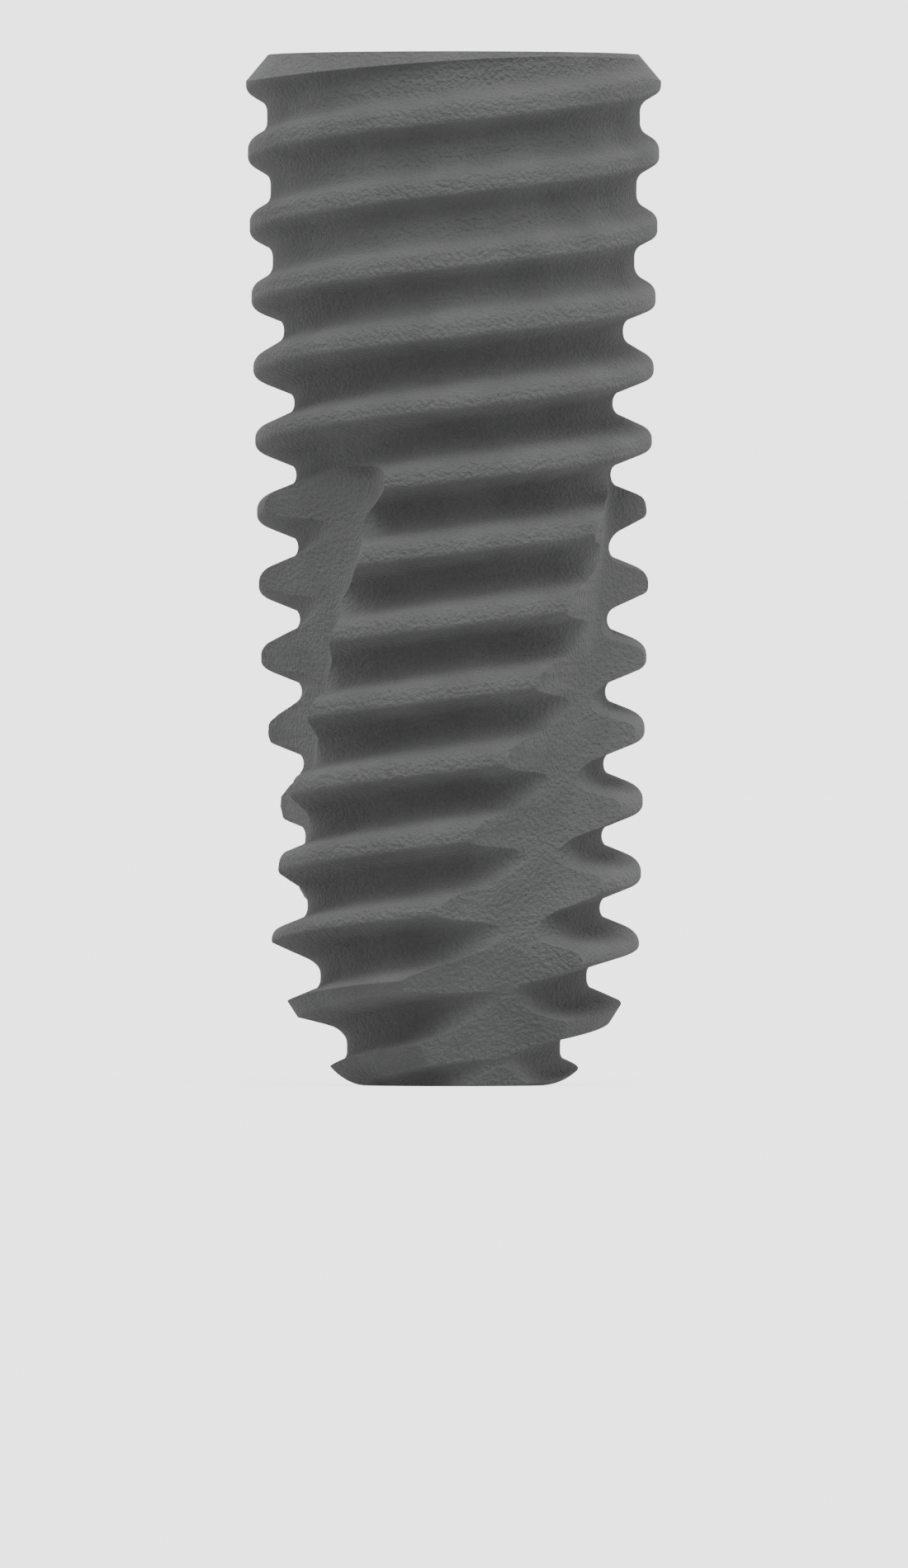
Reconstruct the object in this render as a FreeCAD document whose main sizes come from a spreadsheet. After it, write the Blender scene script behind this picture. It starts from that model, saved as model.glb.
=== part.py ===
import FreeCAD, Part
import math
import os

import Sketcher
from FreeCAD import Vector

# A bone-level dental implant, turned and milled from one piece of titanium, in millimetres.
# Its apex stands on Z = 0, its platform faces +Z, and its axis is Z.
# Turns are counted from the front, which faces -Y, towards +X.

doc = FreeCAD.newDocument("DentalImplant")

# Driving dimensions: millimetres, and degrees for turns and angles

DIMENSIONS = [
    ("length", 10.0, "platform to apex"),
    ("platform_diameter", 3.60, "flat top, at its outer edge"),
    ("platform_bevel_angle", 40.0, "bevel under the platform, from the axis"),
    ("crest_diameter", 4.04, "thread crests, at the height of the platform"),
    ("crest_taper", 1.45, "narrowing of the crests towards the apex, half angle"),
    ("blank_allowance", 0.25, "how far the uncut blank stands outside the crests"),
    ("apex_cone_angle", 32.3, "cone that cuts the last ridges, from the axis"),
    ("apex_cone_diameter", 2.255, "that cone, where it would meet Z = 0"),
    ("apex_rounding", 0.54, "between the cone and the flat of the apex"),
    ("pitch", 0.70, "ridge to ridge, along the axis"),
    ("starts", 2, "ridges that run side by side"),
    ("groove_height", 5.222, "middle of a groove at the left side"),
    ("upper_depth", 0.212, "thread depth in the upper zone"),
    ("lower_depth", 0.389, "thread depth in the lower zone"),
    ("upper_flank", 30.8, "flank angle in the upper zone, from a level plane"),
    ("lower_flank", 21.3, "flank angle in the lower zone"),
    ("half_root", 0.114, "half the groove bottom, from flank to flank"),
    ("upper_widening", 0.055, "how much wider its lower half is in the upper zone"),
    ("tip_widening", 0.115, "how much wider its upper half is at Z = 0"),
    ("crest_break", 0.040, "broken edge at each side of a crest"),
    ("root_break", 0.060, "broken edge at each side of the groove bottom"),
    ("deepening_height", 7.356, "middle of the change from shallow to deep"),
    ("deepening_length", 1.55, "length of that change along the axis"),
    ("upper_widening_height", 7.96, "middle of the change of the groove bottom's width"),
    ("upper_widening_length", 0.40, "length of that change along the axis"),
    ("tip_widening_height", 1.80, "below it the groove bottom widens towards the apex"),
    ("flank_shift", 0.48, "undersides of ridges change this much earlier, top sides later"),
    ("flank_change_length", 1.45, "length of the change of flank angle along the axis"),
    ("runout_length", 1.19, "groove run-out under the platform"),
    ("runout_rise", 0.030, "how much shallower the groove is at the platform"),
    ("tip_root_height", 1.35, "below it the groove bottoms follow a cone"),
    ("tip_root_angle", 20.2, "that cone, from the axis"),
    ("flute_count", 3, "cutting flutes round the axis"),
    ("last_flute_turn", -3.2, "turn of the last flute, at the left, from an even spacing"),
    ("flute_top", 6.0, "upper end of the flutes"),
    ("flute_lead", 26.6, "height of a full turn of the flutes"),
    ("flute_facing", 28.5, "where the first flute's floor faces in the tip"),
    ("flute_straight", 1.15, "below it the flutes run straight"),
    ("flute_drop", 0.032, "flute floor under the groove bottoms"),
    ("flute_wall_angle", 42.0, "cutting wall, from the radius"),
    ("flute_corner", 0.06, "foot of that wall beside the middle of the floor"),
    ("flute_widening", 0.20, "how much further out the foot lies at the apex"),
    ("flute_fillet", 0.16, "between floor and wall"),
    ("flute_end_break", 0.08, "broken edge round the upper end of a flute"),
    ("lead_in_diameter", 3.10, "bevel of the socket, at the platform"),
    ("lead_in_angle", 45.0, "that bevel, from the axis"),
    ("hex_flats", 2.50, "hexagon socket across its flats"),
    ("hex_depth", 1.70, "hexagon socket below the platform"),
    ("relief_diameter", 2.10, "round relief under the hexagon"),
    ("relief_depth", 2.40, "relief below the platform"),
    ("screw_bore", 1.45, "core diameter for the retaining screw"),
    ("screw_bore_depth", 5.60, "full bore below the platform"),
    ("drill_point_angle", 59.0, "drilled cones, from the axis"),
]

sheet = doc.addObject("Spreadsheet::Sheet", "Sizes")
for row, (alias, value, meaning) in enumerate(DIMENSIONS, start=1):
    sheet.set(f"A{row}", meaning)
    sheet.set(f"B{row}", str(value))
    sheet.setAlias(f"B{row}", alias)
doc.recompute()

CONE_CLEARANCE = 0.15  # uncut ridges stand this far outside the cone of the apex
THINNEST_RIDGE = 0.05  # height and half width that a ridge keeps beyond the apex
BREAK_SHARE = 0.6  # a broken edge takes no more of half a crest or half a groove bottom
FLANK_SHARE = 0.45  # nor more of a flank
OVERRUN = 0.5  # cuts run past the ends of the implant by this much
THREAD_STEP = 22.5  # degrees between the sections of the thread
FLUTE_STEP = 0.5  # height between the sections of a flute


def size(alias):
    return float(getattr(sheet, alias))


def tangent(alias):
    return math.tan(math.radians(size(alias)))


def turned(radius, turn, height):
    """The point at a radius and a turn in degrees from the front."""
    angle = math.radians(turn)
    return Vector(radius * math.sin(angle), -radius * math.cos(angle), height)


# The form of the thread at each height


def change(height, middle, span):
    """0 below a zone, 1 above it, and a smooth change inside it."""
    share = min(max((height - middle) / span + 0.5, 0.0), 1.0)
    return share * share * (3.0 - 2.0 * share)


def zoned(name, share):
    return size("lower_" + name) + (size("upper_" + name) - size("lower_" + name)) * share


def crest_line(height):
    return size("crest_diameter") / 2 - (size("length") - height) * tangent("crest_taper")


def root_radius(height):
    """Groove bottoms: parallel to the crests, rising at the platform, conical at the apex."""
    deepening = change(height, size("deepening_height"), size("deepening_length"))
    runout = size("runout_length")
    rise = size("runout_rise") * change(height, size("length") - runout / 2, runout)
    below = max(size("tip_root_height") - height, 0.0)
    narrowing = below * (tangent("tip_root_angle") - tangent("crest_taper"))
    return crest_line(height) - zoned("depth", deepening) + rise - narrowing


def crest_radius(height):
    """Crests, which turn in just outside the cone that will cut them away."""
    cone = size("apex_cone_diameter") / 2 + height * tangent("apex_cone_angle") + CONE_CLEARANCE
    return max(min(crest_line(height), cone), root_radius(height) + THINNEST_RIDGE)


def root_widening(height, side):
    if side < 0:
        upper = change(height, size("upper_widening_height"), size("upper_widening_length"))
        return size("upper_widening") * upper
    return size("tip_widening") * min(max(1.0 - height / size("tip_widening_height"), 0.0), 1.0)


def half_groove(height, side):
    """Points (radius, rise) from the crest above or below a groove down to its bottom."""
    flank_middle = size("deepening_height") + side * size("flank_shift")
    flank_share = change(height, flank_middle, size("flank_change_length"))
    slope = math.tan(math.radians(zoned("flank", flank_share)))
    half_pitch = size("pitch") / 2
    root = root_radius(height)
    crest = crest_radius(height + side * half_pitch)
    half_root = size("half_root") + root_widening(height, side)
    half_crest = max(half_pitch - half_root - (crest - root) * slope, THINNEST_RIDGE / 2)
    foot = Vector(root, half_root, 0)
    shoulder = Vector(crest, half_pitch - half_crest, 0)
    flank = shoulder - foot
    most = flank.Length * FLANK_SHARE
    flank.normalize()
    crest_break = min(size("crest_break"), half_crest * BREAK_SHARE, most)
    root_break = min(size("root_break"), half_root * BREAK_SHARE, most)
    return [
        shoulder + Vector(0, crest_break, 0),
        shoulder - flank * crest_break,
        foot + flank * root_break,
        foot - Vector(0, root_break, 0),
    ]


def thread_section(height):
    """Points (radius, height) across the ridge below a groove, and up the groove to the next."""
    underside = half_groove(height - size("pitch"), 1)[0]
    ridge = [(underside.x, height - size("pitch") + underside.y)]
    below = [(point.x, height - point.y) for point in half_groove(height, -1)]
    above = [(point.x, height + point.y) for point in half_groove(height, 1)]
    return ridge + below + above[::-1]


# Skins: ruled strips between smooth lines that run through the points of the sections


def skin_strips(sections, parameters):
    lines = []
    for points in zip(*sections):
        line = Part.BSplineCurve()
        line.interpolate(Points=list(points), Parameters=parameters)
        lines.append(line)
    along = lines[0]
    strips = []
    for low, high in zip(lines, lines[1:]):
        strip = Part.BSplineSurface()
        strip.buildFromPolesMultsKnots(
            [list(pair) for pair in zip(low.getPoles(), high.getPoles())],
            along.getMultiplicities(),
            [2, 2],
            along.getKnots(),
            [0.0, 1.0],
            False,
            False,
            along.Degree,
            1,
        )
        strips.append(strip.toShape())
    return strips


def thread_skin():
    """Crest, broken edge, flank, broken edge, bottom and back, wound once for each start."""
    lead = size("pitch") * size("starts")
    first = (-OVERRUN - size("groove_height")) / lead * 360 - 90
    last = (size("length") + OVERRUN - size("groove_height")) / lead * 360 - 90
    turns = [first + THREAD_STEP * step for step in range(math.ceil((last - first) / THREAD_STEP) + 1)]
    sections = []
    for turn in turns:
        section = thread_section(size("groove_height") + lead * (turn + 90) / 360)
        sections.append([turned(radius, turn, height) for radius, height in section])
    strips = skin_strips(sections, [math.radians(turn) for turn in turns])
    skin = []
    for start in range(round(size("starts"))):
        for strip in strips:
            copy = strip.copy()
            copy.rotate(Vector(), Vector(0, 0, 1), 360 * start / size("starts"))
            skin.append(copy)
    return Part.Shell(skin)


# Sketches: closed outlines whose corners are bound to the sizes


def origin_plane(body, role):
    return next(item for item in body.Origin.OriginFeatures if item.Role == role)


def outline(body, name, plane, corners):
    """A closed sketch through corners that are pairs of formulas in the sheet's aliases."""
    sketch = body.newObject("Sketcher::SketchObject", name)
    sketch.AttachmentSupport = [(origin_plane(body, plane), "")]
    sketch.MapMode = "FlatFace"
    values = [[float(sheet.evalExpression(formula)) for formula in corner] for corner in corners]
    for index, value in enumerate(values):
        following = values[(index + 1) % len(values)]
        sketch.addGeometry(Part.LineSegment(Vector(*value, 0), Vector(*following, 0)))
    for index in range(len(values)):
        following = (index + 1) % len(values)
        sketch.addConstraint(Sketcher.Constraint("Coincident", index, 2, following, 1))
    for index, corner in enumerate(corners):
        for kind, formula, value in zip(("DistanceX", "DistanceY"), corner, values[index]):
            place = sketch.addConstraint(Sketcher.Constraint(kind, -1, 1, index, 1, value))
            sketch.setExpression(f"Constraints[{place}]", formula)
    return sketch


def revolved(body, name, sketch):
    feature = body.newObject("PartDesign::Revolution", name)
    feature.Profile = sketch
    feature.ReferenceAxis = (sketch, ["V_Axis"])
    feature.Angle = 360.0
    doc.recompute()
    return feature


# The blank: a turned body with the platform's bevel, and the cone and rounding of the apex


def turned_blank():
    body = doc.addObject("PartDesign::Body", "Blank")
    radius = "(Sizes.crest_diameter / 2 + Sizes.blank_allowance)"
    tip = "Sizes.apex_cone_diameter / 2"
    platform = "Sizes.platform_diameter / 2"
    cone_top = f"({radius} - {tip}) / tan(Sizes.apex_cone_angle * 1 deg)"
    bevel_foot = f"Sizes.length - ({radius} - {platform}) / tan(Sizes.platform_bevel_angle * 1 deg)"
    corners = [
        ("0", "0"),
        (tip, "0"),
        (radius, cone_top),
        (radius, bevel_foot),
        (platform, "Sizes.length"),
        ("0", "Sizes.length"),
    ]
    turning = revolved(body, "Turning", outline(body, "BlankProfile", "XZ_Plane", corners))
    edges = turning.Shape.Edges
    rim = [f"Edge{i}" for i, edge in enumerate(edges, 1) if edge.BoundBox.ZMax < 0.001 and edge.Closed]
    rounding = body.newObject("PartDesign::Fillet", "ApexRounding")
    rounding.Base = (turning, rim)
    rounding.setExpression("Radius", "Sizes.apex_rounding")
    doc.recompute()
    return body


def threaded_blank(blank):
    """The blank without what lies outside the skin of the thread."""
    pieces, _ = blank.Shape.generalFuse([thread_skin()])
    threaded = doc.addObject("Part::Feature", "ThreadedBlank")
    threaded.Shape = max(pieces.Solids, key=lambda piece: piece.Volume)
    return threaded


# A flute: a level floor just under the groove bottoms, and a cutting wall on its right


def flute_section(height, inset=0.0):
    """The cutter's corners: floor, fillet, wall and back, and again the first."""
    straight = size("flute_straight")
    facing = size("flute_facing") + 360 * max(height - straight, 0.0) / size("flute_lead")
    lean = math.radians(size("flute_wall_angle"))
    half_corner = math.tan(math.radians(45) - lean / 2)
    floor = root_radius(height) - size("flute_drop") + inset
    widening = size("flute_widening") * max(1.0 - height / straight, 0.0)
    foot = size("flute_corner") + widening - inset * half_corner
    reach = size("crest_diameter") / 2 + size("blank_allowance") + OVERRUN
    run = size("flute_fillet") * half_corner
    points = [
        (-reach, floor),
        (foot - run, floor),
        (foot + run * math.sin(lean), floor + run * math.cos(lean)),
        (foot + (reach - floor) * math.tan(lean), reach),
        (-reach, reach),
        (-reach, floor),
    ]
    outward = turned(1.0, facing, 0)
    across = turned(1.0, facing + 90, 0)
    return [across * right + outward * out + Vector(0, 0, height) for right, out in points]


def flute_cutter():
    top = size("flute_top")
    edge = top - size("flute_end_break")
    steps = math.ceil((edge + OVERRUN) / FLUTE_STEP)
    heights = [edge - (edge + OVERRUN) * (1 - step / steps) for step in range(steps + 1)]
    sections = [flute_section(height) for height in heights]
    last = flute_section(top, size("flute_end_break"))
    faces = skin_strips(sections, heights) + skin_strips([sections[-1], last], [edge, top])
    faces += [Part.Face(Part.makePolygon(section)) for section in (sections[0], last)]
    return Part.Solid(Part.Shell(faces))


def flutes():
    shape = flute_cutter()
    count = round(size("flute_count"))
    cutters = []
    for index in range(count):
        turn = 360 * index / count + (size("last_flute_turn") if index == count - 1 else 0.0)
        cutter = doc.addObject("Part::Feature", f"Flute{index + 1}")
        cutter.Shape = shape
        cutter.Placement = FreeCAD.Placement(Vector(), FreeCAD.Rotation(Vector(0, 0, 1), turn))
        cutters.append(cutter)
    return cutters


# The connection: a bevelled hexagon socket over the bore of the retaining screw


def connection():
    body = doc.addObject("PartDesign::Body", "Connection")
    top = f"(Sizes.length + {OVERRUN})"
    bevel = "Sizes.lead_in_diameter / 2"
    bevel_slope = "tan(Sizes.lead_in_angle * 1 deg)"
    point_slope = "tan(Sizes.drill_point_angle * 1 deg)"
    relief = "Sizes.relief_diameter / 2"
    bore = "Sizes.screw_bore / 2"
    relief_end = "(Sizes.length - Sizes.relief_depth)"
    bore_end = "(Sizes.length - Sizes.screw_bore_depth)"
    corners = [
        ("0", top),
        (f"{bevel} + {OVERRUN} * {bevel_slope}", top),
        (relief, f"Sizes.length - ({bevel} - {relief}) / {bevel_slope}"),
        (relief, relief_end),
        (bore, f"{relief_end} - ({relief} - {bore}) / {point_slope}"),
        (bore, bore_end),
        ("0", f"{bore_end} - {bore} / {point_slope}"),
    ]
    revolved(body, "Bores", outline(body, "BoreProfile", "XZ_Plane", corners))

    corner_radius = "Sizes.hex_flats / 2 / cos(30 deg)"
    hexagon = [
        (f"{corner_radius} * cos({turn} deg)", f"{corner_radius} * sin({turn} deg)")
        for turn in range(30, 390, 60)
    ]
    sketch = outline(body, "Hexagon", "XY_Plane", hexagon)
    sketch.setExpression("AttachmentOffset.Base.z", "Sizes.length - Sizes.hex_depth")
    socket = body.newObject("PartDesign::Pad", "Socket")
    socket.Profile = sketch
    socket.setExpression("Length", f"Sizes.hex_depth + {OVERRUN}")
    doc.recompute()
    return body


# The implant

cutters = doc.addObject("Part::Compound", "Cutters")
cutters.Links = flutes() + [connection()]
implant = doc.addObject("Part::Cut", "Implant")
implant.Base = threaded_blank(turned_blank())
implant.Tool = cutters
implant.Label = "implant_body"
implant.Placement = FreeCAD.Placement()
doc.recompute()

for item in doc.Objects:
    if "Invalid" in item.State or "Error" in item.State:
        raise RuntimeError(f"{item.Label} failed: {item.State}")
shape = implant.Shape
if shape.isNull() or not shape.isValid() or len(shape.Solids) != 1:
    raise RuntimeError(f"{implant.Label} isn't one valid solid")

os.makedirs("parts", exist_ok=True)
shape.exportStep(f"parts/{implant.Label}.step")
print(f"{implant.Label}: {shape.Volume:.3f} mm3, {len(shape.Faces)} faces")
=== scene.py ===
import math

import bpy
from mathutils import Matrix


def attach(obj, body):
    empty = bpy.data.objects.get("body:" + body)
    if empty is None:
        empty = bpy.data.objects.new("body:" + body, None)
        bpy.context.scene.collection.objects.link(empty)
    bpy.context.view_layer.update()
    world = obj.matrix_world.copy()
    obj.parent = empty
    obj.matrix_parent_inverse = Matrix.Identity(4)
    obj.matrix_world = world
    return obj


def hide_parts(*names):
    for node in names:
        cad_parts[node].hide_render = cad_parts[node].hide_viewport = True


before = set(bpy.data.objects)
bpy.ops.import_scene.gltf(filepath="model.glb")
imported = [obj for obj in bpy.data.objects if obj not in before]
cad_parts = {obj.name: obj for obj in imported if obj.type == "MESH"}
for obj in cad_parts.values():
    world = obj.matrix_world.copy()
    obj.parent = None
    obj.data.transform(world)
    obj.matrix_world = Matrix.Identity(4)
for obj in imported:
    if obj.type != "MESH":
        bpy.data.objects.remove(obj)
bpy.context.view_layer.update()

# The implant is shaped in millimetres and brought to metres at the end.
# Heights are counted from the apex, and turns in degrees from the front towards +X.

bodyForm = {
    "length": 10.0,
    "platformRadius": 1.80,
    "platformBevel": 40.0,
    "blankRadius": 2.275,
    "apexConeAngle": 32.3,
    "apexConeRadius": 1.1275,
    "apexRounding": 0.54,
    "roundingSteps": 12,
    "steps": 180,
}

threadForm = {
    "crestRadius": 2.02,  # at the platform
    "crestTaper": 1.45,
    "lead": 1.40,  # two ridges wind side by side
    "pitch": 0.70,
    "grooveHeight": 5.222,  # middle of a groove at the left side
    "depth": (0.391, 0.212),  # lower zone, upper zone
    "flank": (20.8, 30.8),
    "halfRoot": 0.115,
    "crestRounding": (0.07, 0.12),  # under a crest, over it
    "rootRounding": 0.16,
    "deepening": (7.355, 1.55),  # middle of the change between the zones, and its length
    "flankShift": 0.48,
    "flankChange": 1.43,
    "upperWidening": 0.055,  # of the lower half of a groove bottom in the upper zone
    "upperWideningZone": (7.94, 0.42),
    "tipWidening": 0.115,  # of its upper half at the apex
    "tipWideningHeight": 1.80,
    "runoutLength": 1.19,
    "runoutRise": 0.031,
    "tipRootHeight": 1.35,
    "tipRootAngle": 20.2,
    "coneClearance": 0.15,  # of the crests over the cone of the blank, which trims them
    "thinnestRidge": 0.05,
    "leastHalfCrest": 0.025,
    "flatShare": 0.96,  # the most that an arc takes of the flat beside it
    "rootShare": 0.4,  # and of the flank
    "crestShare": 0.55,
    "rootSteps": 5,
    "flankSteps": 3,
    "crestSteps": 6,
    "firstGroove": -1.25,  # far enough below the apex
    "overrun": 0.5,
    "columnsPerTurn": 140,
}

fluteForm = {
    "count": 3,
    "lastTurn": -3.2,  # of the flute at the left, from an even spacing
    "top": 6.0,
    "lead": 26.6,
    "facing": 28.5,
    "straight": 1.15,  # below it the flutes run straight
    "straightTop": 5.74,  # and above it
    "softSpan": 0.25,  # half the length of the change to the straight
    "drop": 0.032,  # of the floor under the groove bottoms
    "wallAngle": 42.0,
    "corner": 0.06,
    "widening": 0.20,
    "fillet": 0.45,
    "endRounding": 0.06,
    "reach": 2.8,
    "filletSteps": 8,
    "endSteps": 8,
    "bottom": -0.5,
    "levelStep": 0.1,
    "leastStep": 0.05,
}

socketForm = {
    "leadInRadius": 1.55,
    "hexFlats": 2.50,
    "hexDepth": 1.70,
    "reliefRadius": 1.05,
    "reliefDepth": 2.40,
    "boreRadius": 0.725,
    "boreDepth": 5.60,
    "drillPoint": 59.0,
    "screwRadius": 0.90,
    "screwPitch": 0.35,
    "screwOverlap": 0.03,  # of the fine thread's cutter inside the bore
    "screwStart": 0.25,  # over the floor of the bore
    "screwLength": 3.2,
    "screwSteps": 48,
    "overrun": 0.5,
    "steps": 96,
}


seamDistance = 0.0001


def turned(radius, turn, height):
    angle = math.radians(turn)
    return (radius * math.sin(angle), -radius * math.cos(angle), height)


def softChange(height, middle, span):
    share = min(max((height - middle) / span + 0.5, 0.0), 1.0)
    return share * share * (3.0 - 2.0 * share)


def tangent(degrees):
    return math.tan(math.radians(degrees))


def deselectAll():
    bpy.ops.object.select_all(action="DESELECT")


def makeActive(piece):
    deselectAll()
    piece.select_set(True)
    bpy.context.view_layer.objects.active = piece


def wrappedGrid(name, columns, rows, place):
    # a flat grid whose corners go to their places; seams are merged and open ends closed
    deselectAll()
    bpy.ops.mesh.primitive_grid_add(x_subdivisions=columns, y_subdivisions=rows, size=2.0)
    piece = bpy.context.active_object
    piece.name = name
    for vertex in piece.data.vertices:
        column = round((vertex.co.x + 1.0) / 2.0 * columns)
        row = round((vertex.co.y + 1.0) / 2.0 * rows)
        vertex.co = place(column, row)
    bpy.ops.object.mode_set(mode="EDIT")
    bpy.ops.mesh.select_all(action="SELECT")
    bpy.ops.mesh.remove_doubles(threshold=seamDistance)
    bpy.ops.mesh.select_all(action="DESELECT")
    bpy.ops.mesh.select_mode(type="EDGE")
    bpy.ops.mesh.select_non_manifold(
        extend=False,
        use_wire=False,
        use_boundary=True,
        use_multi_face=False,
        use_non_contiguous=False,
        use_verts=False,
    )
    bpy.ops.object.mode_set(mode="OBJECT")
    if any(edge.select for edge in piece.data.edges):
        bpy.ops.object.mode_set(mode="EDIT")
        bpy.ops.mesh.extrude_edges_move()
        bpy.ops.mesh.merge(type="COLLAPSE")
        bpy.ops.object.mode_set(mode="OBJECT")
    bpy.ops.object.mode_set(mode="EDIT")
    bpy.ops.mesh.select_all(action="SELECT")
    bpy.ops.mesh.normals_make_consistent(inside=False)
    bpy.ops.object.mode_set(mode="OBJECT")
    return piece


def revolvedProfile(name, profile, steps):
    def place(column, row):
        radius, height = profile[row]
        return turned(radius, 360.0 * (column % steps) / steps, height)

    return wrappedGrid(name, steps, len(profile) - 1, place)


def combine(piece, other, operation):
    makeActive(piece)
    step = piece.modifiers.new(operation.lower(), "BOOLEAN")
    step.operation = operation
    step.solver = "MANIFOLD"
    step.object = other
    bpy.ops.object.modifier_apply(modifier=step.name)
    bpy.data.objects.remove(other, do_unlink=True)
    print(f"{piece.name}: {operation.lower()}, {len(piece.data.polygons)} faces")


# The double thread: a ribbon one lead high, wound from below the apex to above the platform


def zoned(name, share):
    lower, upper = threadForm[name]
    return lower + (upper - lower) * share


def crestLine(height):
    return threadForm["crestRadius"] - (bodyForm["length"] - height) * tangent(threadForm["crestTaper"])


def rootRadius(height):
    form = threadForm
    deepening = softChange(height, *form["deepening"])
    runoutMiddle = bodyForm["length"] - form["runoutLength"] / 2
    rise = form["runoutRise"] * softChange(height, runoutMiddle, form["runoutLength"])
    below = max(form["tipRootHeight"] - height, 0.0)
    narrowing = below * (tangent(form["tipRootAngle"]) - tangent(form["crestTaper"]))
    return crestLine(height) - zoned("depth", deepening) + rise - narrowing


def crestRadius(height):
    form = threadForm
    cone = bodyForm["apexConeRadius"] + height * tangent(bodyForm["apexConeAngle"]) + form["coneClearance"]
    return max(min(crestLine(height), cone), rootRadius(height) + form["thinnestRidge"])


def halfGroove(height, side):
    # (radius, rise) from the middle of a groove's bottom to the middle of the crest beside it
    form = threadForm
    flankShare = softChange(height, form["deepening"][0] + side * form["flankShift"], form["flankChange"])
    flank = math.radians(zoned("flank", flankShare))
    halfPitch = form["pitch"] / 2
    root = rootRadius(height)
    crest = crestRadius(height + side * halfPitch)
    halfRoot = form["halfRoot"]
    if side < 0:
        halfRoot += form["upperWidening"] * softChange(height, *form["upperWideningZone"])
    else:
        halfRoot += form["tipWidening"] * min(max(1.0 - height / form["tipWideningHeight"], 0.0), 1.0)
    shoulder = min(halfRoot + (crest - root) * math.tan(flank), halfPitch - form["leastHalfCrest"])
    flank = math.atan2(shoulder - halfRoot, crest - root)
    turning = math.pi / 2 - flank
    flankLength = (crest - root) / math.cos(flank)
    rootRun = min(
        form["rootRounding"] * math.tan(turning / 2),
        form["flatShare"] * halfRoot,
        form["rootShare"] * flankLength,
    )
    crestRounding = form["crestRounding"][0 if side > 0 else 1]
    crestRun = min(
        crestRounding * math.tan(turning / 2),
        form["flatShare"] * (halfPitch - shoulder),
        form["crestShare"] * flankLength,
    )
    rootArc = rootRun / math.tan(turning / 2)
    crestArc = crestRun / math.tan(turning / 2)

    def rootPoint(angle):
        radius = root + rootArc * (1 - math.cos(angle))
        return (radius, halfRoot - rootRun + rootArc * math.sin(angle))

    def crestPoint(angle):
        radius = crest - crestArc * (1 - math.cos(angle))
        return (radius, shoulder + crestRun - crestArc * math.sin(angle))

    points = [(root, 0.0)]
    for step in range(form["rootSteps"] + 1):
        points.append(rootPoint(turning * step / form["rootSteps"]))
    foot, top = points[-1], crestPoint(turning)
    for step in range(1, form["flankSteps"]):
        share = step / form["flankSteps"]
        points.append((foot[0] + (top[0] - foot[0]) * share, foot[1] + (top[1] - foot[1]) * share))
    for step in range(form["crestSteps"] + 1):
        points.append(crestPoint(turning * (1 - step / form["crestSteps"])))
    points.append((crest, halfPitch))
    return points


def woundThread():
    form = threadForm
    first = form["firstGroove"]
    firstTurn = (first - form["grooveHeight"]) / form["lead"] * 360 - 90
    top = bodyForm["length"] + form["overrun"]
    columns = math.ceil((top - first) / form["lead"] * form["columnsPerTurn"])
    half = len(halfGroove(first, 1)) - 1
    sections = []
    for column in range(columns + 1):
        height = first + form["lead"] * column / form["columnsPerTurn"]
        section = []
        for middle in (height, height + form["pitch"]):
            section += [(radius, middle - rise) for radius, rise in halfGroove(middle, -1)[:0:-1]]
            section += [(radius, middle + rise) for radius, rise in halfGroove(middle, 1)[:-1]]
        last = height + form["pitch"]
        radius, rise = halfGroove(last, 1)[-1]
        section.append((radius, last + rise))
        sections.append(section)

    def place(column, row):
        radius, height = sections[column][row]
        return turned(radius, firstTurn + 360.0 * column / form["columnsPerTurn"], height)

    return wrappedGrid("threadedImplant", columns, 4 * half, place)


# The turned outside that trims the ridges: rounded apex, cone, and bevel under the platform


def turnedBlank():
    form = bodyForm
    turning = math.radians(90 - form["apexConeAngle"])
    flat = form["apexConeRadius"] - form["apexRounding"] * math.tan(turning / 2)
    profile = [(0.0, 0.0)]
    rounding = form["apexRounding"]
    for step in range(form["roundingSteps"] + 1):
        angle = turning * step / form["roundingSteps"]
        profile.append((flat + rounding * math.sin(angle), rounding * (1 - math.cos(angle))))
    coneTop = (form["blankRadius"] - form["apexConeRadius"]) / tangent(form["apexConeAngle"])
    bevelDrop = (form["blankRadius"] - form["platformRadius"]) / tangent(form["platformBevel"])
    bevelFoot = form["length"] - bevelDrop
    profile += [(form["blankRadius"], coneTop), (form["blankRadius"], bevelFoot)]
    profile += [(form["platformRadius"], form["length"]), (0.0, form["length"])]
    return revolvedProfile("blank", profile, form["steps"])


# One flute: a level floor, a fillet and a cutting wall, wound along the implant


def softRise(height, start, span):
    # zero below start, straight above it, and smooth between
    beyond = height - start
    if abs(beyond) >= span:
        return max(beyond, 0.0)
    return (beyond + span) ** 2 / (4 * span)


def fluteSection(height, inset):
    form = fluteForm
    lean = math.radians(form["wallAngle"])
    half = math.pi / 4 - lean / 2
    floor = rootRadius(height) - form["drop"] + inset
    widening = form["widening"] * max(1.0 - height / form["straight"], 0.0)
    foot = form["corner"] + widening - inset * math.tan(half)
    reach, fillet = form["reach"], form["fillet"]
    run = fillet * math.tan(half)
    points = [(-reach, floor)]
    for step in range(form["filletSteps"] + 1):
        angle = 2 * half * step / form["filletSteps"]
        points.append((foot - run + fillet * math.sin(angle), floor + fillet * (1 - math.cos(angle))))
    points += [(foot + (reach - floor) * math.tan(lean), reach), (-reach, reach), (-reach, floor)]
    return points


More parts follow.
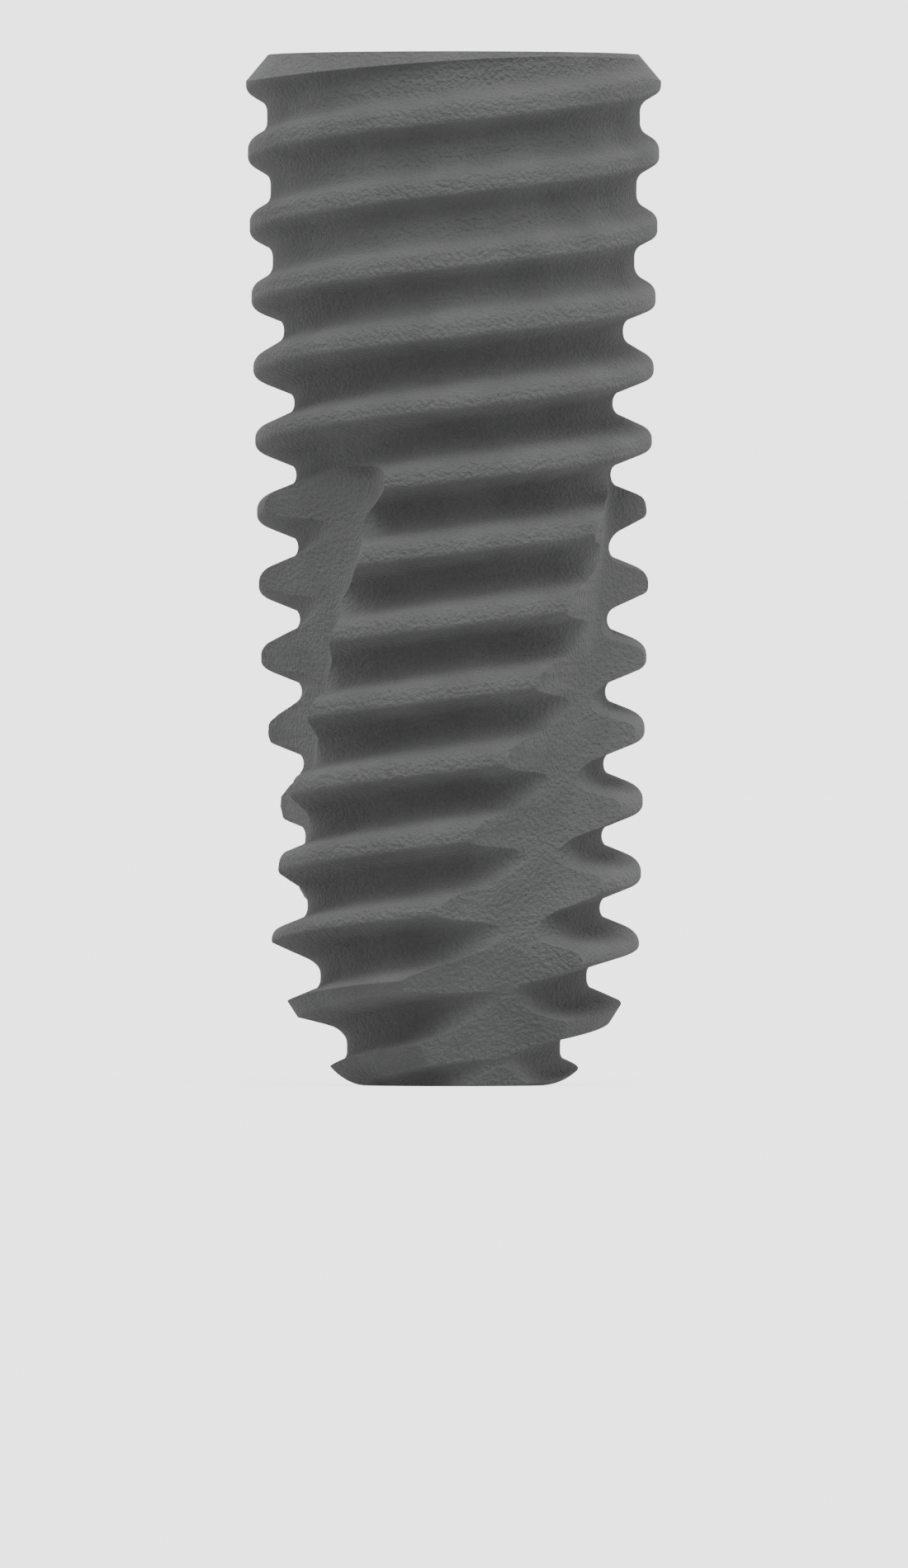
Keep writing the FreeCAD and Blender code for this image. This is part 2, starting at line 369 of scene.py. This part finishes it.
def fluteCutter(index):
    form = fluteForm
    rounding = form["endRounding"]
    levels = []
    height = form["bottom"]
    while height < form["top"] - rounding - form["leastStep"]:
        levels.append((height, 0.0))
        height += form["levelStep"]
    for step in range(form["endSteps"] + 1):
        angle = math.pi / 2 * step / form["endSteps"]
        level = form["top"] - rounding * (1 - math.sin(angle))
        levels.append((level, rounding * (1 - math.cos(angle))))
    sections = [fluteSection(*level) for level in levels]

    def place(column, row):
        height = levels[row][0]
        wound = softRise(min(height, form["straightTop"]), form["straight"], form["softSpan"])
        facing = form["facing"] + 360 * wound / form["lead"]
        facing += 360 * index / form["count"]
        if index == form["count"] - 1:
            facing += form["lastTurn"]
        across, out = sections[row][column]
        x, y, _ = turned(out, facing, height)
        sideX, sideY, _ = turned(across, facing + 90, height)
        return (x + sideX, y + sideY, height)

    return wrappedGrid(f"flute{index}", len(sections[0]) - 1, len(levels) - 1, place)


# The socket: lead-in bevel, relief and screw bore in one profile, then the hexagon and the fine thread


def socketBore():
    form = socketForm
    top = bodyForm["length"]
    shelf = top - form["reliefDepth"]
    slope = tangent(form["drillPoint"])
    floor = top - form["boreDepth"]
    profile = [
        (0.0, top + form["overrun"]),
        (form["leadInRadius"] + form["overrun"], top + form["overrun"]),
        (form["reliefRadius"], top - (form["leadInRadius"] - form["reliefRadius"])),
        (form["reliefRadius"], shelf),
        (form["boreRadius"], shelf - (form["reliefRadius"] - form["boreRadius"]) / slope),
        (form["boreRadius"], floor),
        (0.0, floor - form["boreRadius"] / slope),
    ]
    return revolvedProfile("bore", profile, form["steps"])


def hexCutter():
    form = socketForm
    deselectAll()
    depth = form["hexDepth"] + form["overrun"]
    middle = bodyForm["length"] + form["overrun"] - depth / 2
    radius = form["hexFlats"] / 2 / math.cos(math.pi / 6)
    bpy.ops.mesh.primitive_cylinder_add(vertices=6, radius=radius, depth=depth, location=(0, 0, middle))
    cutter = bpy.context.active_object
    bpy.ops.object.transform_apply(location=True, rotation=True, scale=True)
    cutter.name = "hexagon"
    return cutter


def screwThread():
    form = socketForm
    pitch, steps = form["screwPitch"], form["screwSteps"]
    inner, outer = form["boreRadius"] - form["screwOverlap"], form["screwRadius"]
    # share of the pitch, radius
    section = [(0.0, inner), (0.10, inner), (0.40, outer), (0.60, outer), (0.90, inner), (1.0, inner)]
    start = bodyForm["length"] - form["boreDepth"] + form["screwStart"]
    columns = round((form["screwLength"] / pitch) * steps)

    def place(column, row):
        share, radius = section[row]
        return turned(radius, 360.0 * column / steps, start + pitch * (column / steps + share))

    return wrappedGrid("screwThread", columns, len(section) - 1, place)


implant = woundThread()
combine(implant, turnedBlank(), "INTERSECT")
for index in range(fluteForm["count"]):
    combine(implant, fluteCutter(index), "DIFFERENCE")
combine(implant, socketBore(), "DIFFERENCE")
combine(implant, hexCutter(), "DIFFERENCE")
combine(implant, screwThread(), "DIFFERENCE")

# Metres, smooth surfaces and crisp edges

surface = {
    "metres": 0.001,  # in a millimetre
    "crispAngle": 20.0,
}

makeActive(implant)
bpy.ops.object.mode_set(mode="EDIT")
bpy.ops.mesh.select_all(action="SELECT")
bpy.ops.transform.resize(value=(surface["metres"],) * 3, center_override=(0, 0, 0))
bpy.ops.object.mode_set(mode="OBJECT")
bpy.ops.object.shade_smooth_by_angle(angle=math.radians(surface["crispAngle"]))
print(f"threadedImplant: {len(implant.data.polygons)} faces")

# Titanium: blasted and etched outside, plainly machined on the platform and in the socket

finish = {
    "blastedColor": (0.188, 0.189, 0.190, 1.0),
    "blastedSpots": (0.220, 0.221, 0.223, 1.0),
    "blastedRoughness": 0.90,
    "machinedColor": (0.42, 0.42, 0.43, 1.0),
    "machinedShade": (0.34, 0.34, 0.35, 1.0),
    "machinedRoughness": 0.32,
    "grainScale": 24000.0,
    "spotScale": 1800.0,
    "fineDetail": 2.0,
    "fineRoughness": 0.55,
    "spotDetail": 3.0,
    "spotRange": (0.35, 0.65),
    "roughnessSpread": 0.05,
    "blastedBump": 1.0,
    "machinedBump": 0.05,
    "bumpDistance": 0.00005,
    "socketBottom": 3.9,  # heights and reaches of the machined faces
    "socketReach": 1.3,
    "leadInBottom": 9.4,
    "leeway": 0.001,
}


def etchedGrainGroup():
    group = bpy.data.node_groups.new("etchedGrain", "ShaderNodeTree")
    sockets = {"Grain Scale": "INPUT", "Spot Scale": "INPUT", "Height": "OUTPUT", "Spots": "OUTPUT"}
    for name, way in sockets.items():
        group.interface.new_socket(name=name, in_out=way, socket_type="NodeSocketFloat")
    nodes, links = group.nodes, group.links
    inside = nodes.new("NodeGroupInput")
    outside = nodes.new("NodeGroupOutput")
    place = nodes.new("ShaderNodeTexCoord")
    fine = nodes.new("ShaderNodeTexNoise")
    fine.inputs["Detail"].default_value = finish["fineDetail"]
    fine.inputs["Roughness"].default_value = finish["fineRoughness"]
    spots = nodes.new("ShaderNodeTexNoise")
    spots.inputs["Detail"].default_value = finish["spotDetail"]
    links.new(place.outputs["Object"], fine.inputs["Vector"])
    links.new(place.outputs["Object"], spots.inputs["Vector"])
    links.new(inside.outputs["Grain Scale"], fine.inputs["Scale"])
    links.new(inside.outputs["Spot Scale"], spots.inputs["Scale"])
    links.new(fine.outputs["Fac"], outside.inputs["Height"])
    links.new(spots.outputs["Fac"], outside.inputs["Spots"])
    return group


def titanium(name, colors, roughness, bump, grainGroup):
    material = bpy.data.materials.new(name)
    material.use_nodes = True
    nodes, links = material.node_tree.nodes, material.node_tree.links
    shader = nodes["Principled BSDF"]
    shader.inputs["Metallic"].default_value = 1.0
    grain = nodes.new("ShaderNodeGroup")
    grain.node_tree = grainGroup
    grain.inputs["Grain Scale"].default_value = finish["grainScale"]
    grain.inputs["Spot Scale"].default_value = finish["spotScale"]
    tint = nodes.new("ShaderNodeValToRGB")
    for element, position, color in zip(tint.color_ramp.elements, finish["spotRange"], colors):
        element.position = position
        element.color = color
    rough = nodes.new("ShaderNodeMapRange")
    rough.inputs["To Min"].default_value = roughness - finish["roughnessSpread"]
    rough.inputs["To Max"].default_value = roughness + finish["roughnessSpread"]
    relief = nodes.new("ShaderNodeBump")
    relief.inputs["Strength"].default_value = bump
    relief.inputs["Distance"].default_value = finish["bumpDistance"]
    links.new(grain.outputs["Spots"], tint.inputs["Fac"])
    links.new(tint.outputs["Color"], shader.inputs["Base Color"])
    links.new(grain.outputs["Spots"], rough.inputs["Value"])
    links.new(rough.outputs["Result"], shader.inputs["Roughness"])
    links.new(grain.outputs["Height"], relief.inputs["Height"])
    links.new(relief.outputs["Normal"], shader.inputs["Normal"])
    return material


grainGroup = etchedGrainGroup()
blasted = titanium(
    "blastedTitanium",
    (finish["blastedColor"], finish["blastedSpots"]),
    finish["blastedRoughness"],
    finish["blastedBump"],
    grainGroup,
)
machined = titanium(
    "machinedTitanium",
    (finish["machinedShade"], finish["machinedColor"]),
    finish["machinedRoughness"],
    finish["machinedBump"],
    grainGroup,
)
implant.data.materials.clear()
implant.data.materials.append(blasted)
implant.data.materials.append(machined)
for face in implant.data.polygons:
    reach = math.hypot(face.center.x, face.center.y) / surface["metres"]
    height = face.center.z / surface["metres"]
    onPlatform = height > bodyForm["length"] - finish["leeway"]
    inBore = height > finish["socketBottom"] and reach < finish["socketReach"]
    inLeadIn = height > finish["leadInBottom"] and reach < socketForm["leadInRadius"] + finish["leeway"]
    face.material_index = 1 if onPlatform or inBore or inLeadIn else 0

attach(implant, "root")
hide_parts("implant_body")
print("materials: blasted outside, machined socket")

# Studio: a pale floor and backdrop, soft light all round and a soft key light from the front and above

studio = {
    "floorSize": 20.0,
    "floorColor": (0.30, 0.30, 0.30, 1.0),
    "floorGlow": (0.40, 2.50),  # for the part and for the camera
    "floorRoughness": 0.9,
    "surroundings": 0.95,
    "backdrop": 3.0,  # brightness of the backdrop as the camera sees it
    "keyPower": 2.7,
    "keySoftness": 45.0,
    "keyTurn": (35.0, 0.0, 8.0),
    "cameraDistance": 0.35,
    "cameraAside": 0.0000044,
    "cameraHeight": 0.002926,
    "frameHeight": 0.015212,
    "sensorWidth": 36.0,
}

deselectAll()
bpy.ops.mesh.primitive_plane_add(size=studio["floorSize"], location=(0, 0, 0))
floor = bpy.context.active_object
floor.name = "studioFloor"
floorMaterial = bpy.data.materials.new("paleFloor")
floorMaterial.use_nodes = True
nodes, links = floorMaterial.node_tree.nodes, floorMaterial.node_tree.links
shader = nodes["Principled BSDF"]
shader.inputs["Base Color"].default_value = studio["floorColor"]
shader.inputs["Roughness"].default_value = studio["floorRoughness"]
shader.inputs["Emission Color"].default_value = (1.0, 1.0, 1.0, 1.0)
seen = nodes.new("ShaderNodeLightPath")
glow = nodes.new("ShaderNodeMapRange")
glow.inputs["To Min"].default_value, glow.inputs["To Max"].default_value = studio["floorGlow"]
links.new(seen.outputs["Is Camera Ray"], glow.inputs["Value"])
links.new(glow.outputs["Result"], shader.inputs["Emission Strength"])
floor.data.materials.append(floorMaterial)

world = bpy.data.worlds.new("studioWorld")
world.use_nodes = True
nodes, links = world.node_tree.nodes, world.node_tree.links
background = nodes["Background"]
background.inputs["Color"].default_value = (1.0, 1.0, 1.0, 1.0)
seen = nodes.new("ShaderNodeLightPath")
brightness = nodes.new("ShaderNodeMapRange")
brightness.inputs["To Min"].default_value = studio["surroundings"]
brightness.inputs["To Max"].default_value = studio["backdrop"]
links.new(seen.outputs["Is Camera Ray"], brightness.inputs["Value"])
links.new(brightness.outputs["Result"], background.inputs["Strength"])
bpy.context.scene.world = world

bpy.ops.object.light_add(type="SUN", rotation=[math.radians(angle) for angle in studio["keyTurn"]])
key = bpy.context.active_object
key.name = "keyLight"
key.data.energy = studio["keyPower"]
key.data.angle = math.radians(studio["keySoftness"])

cameraPlace = (studio["cameraAside"], -studio["cameraDistance"], studio["cameraHeight"])
bpy.ops.object.camera_add(location=cameraPlace, rotation=(math.pi / 2, 0, 0))
camera = bpy.context.active_object
camera.name = "photoCamera"
camera.data.sensor_width = studio["sensorWidth"]
camera.data.lens = studio["sensorWidth"] * studio["cameraDistance"] / studio["frameHeight"]
bpy.context.scene.camera = camera
print("studio: floor, light and camera")
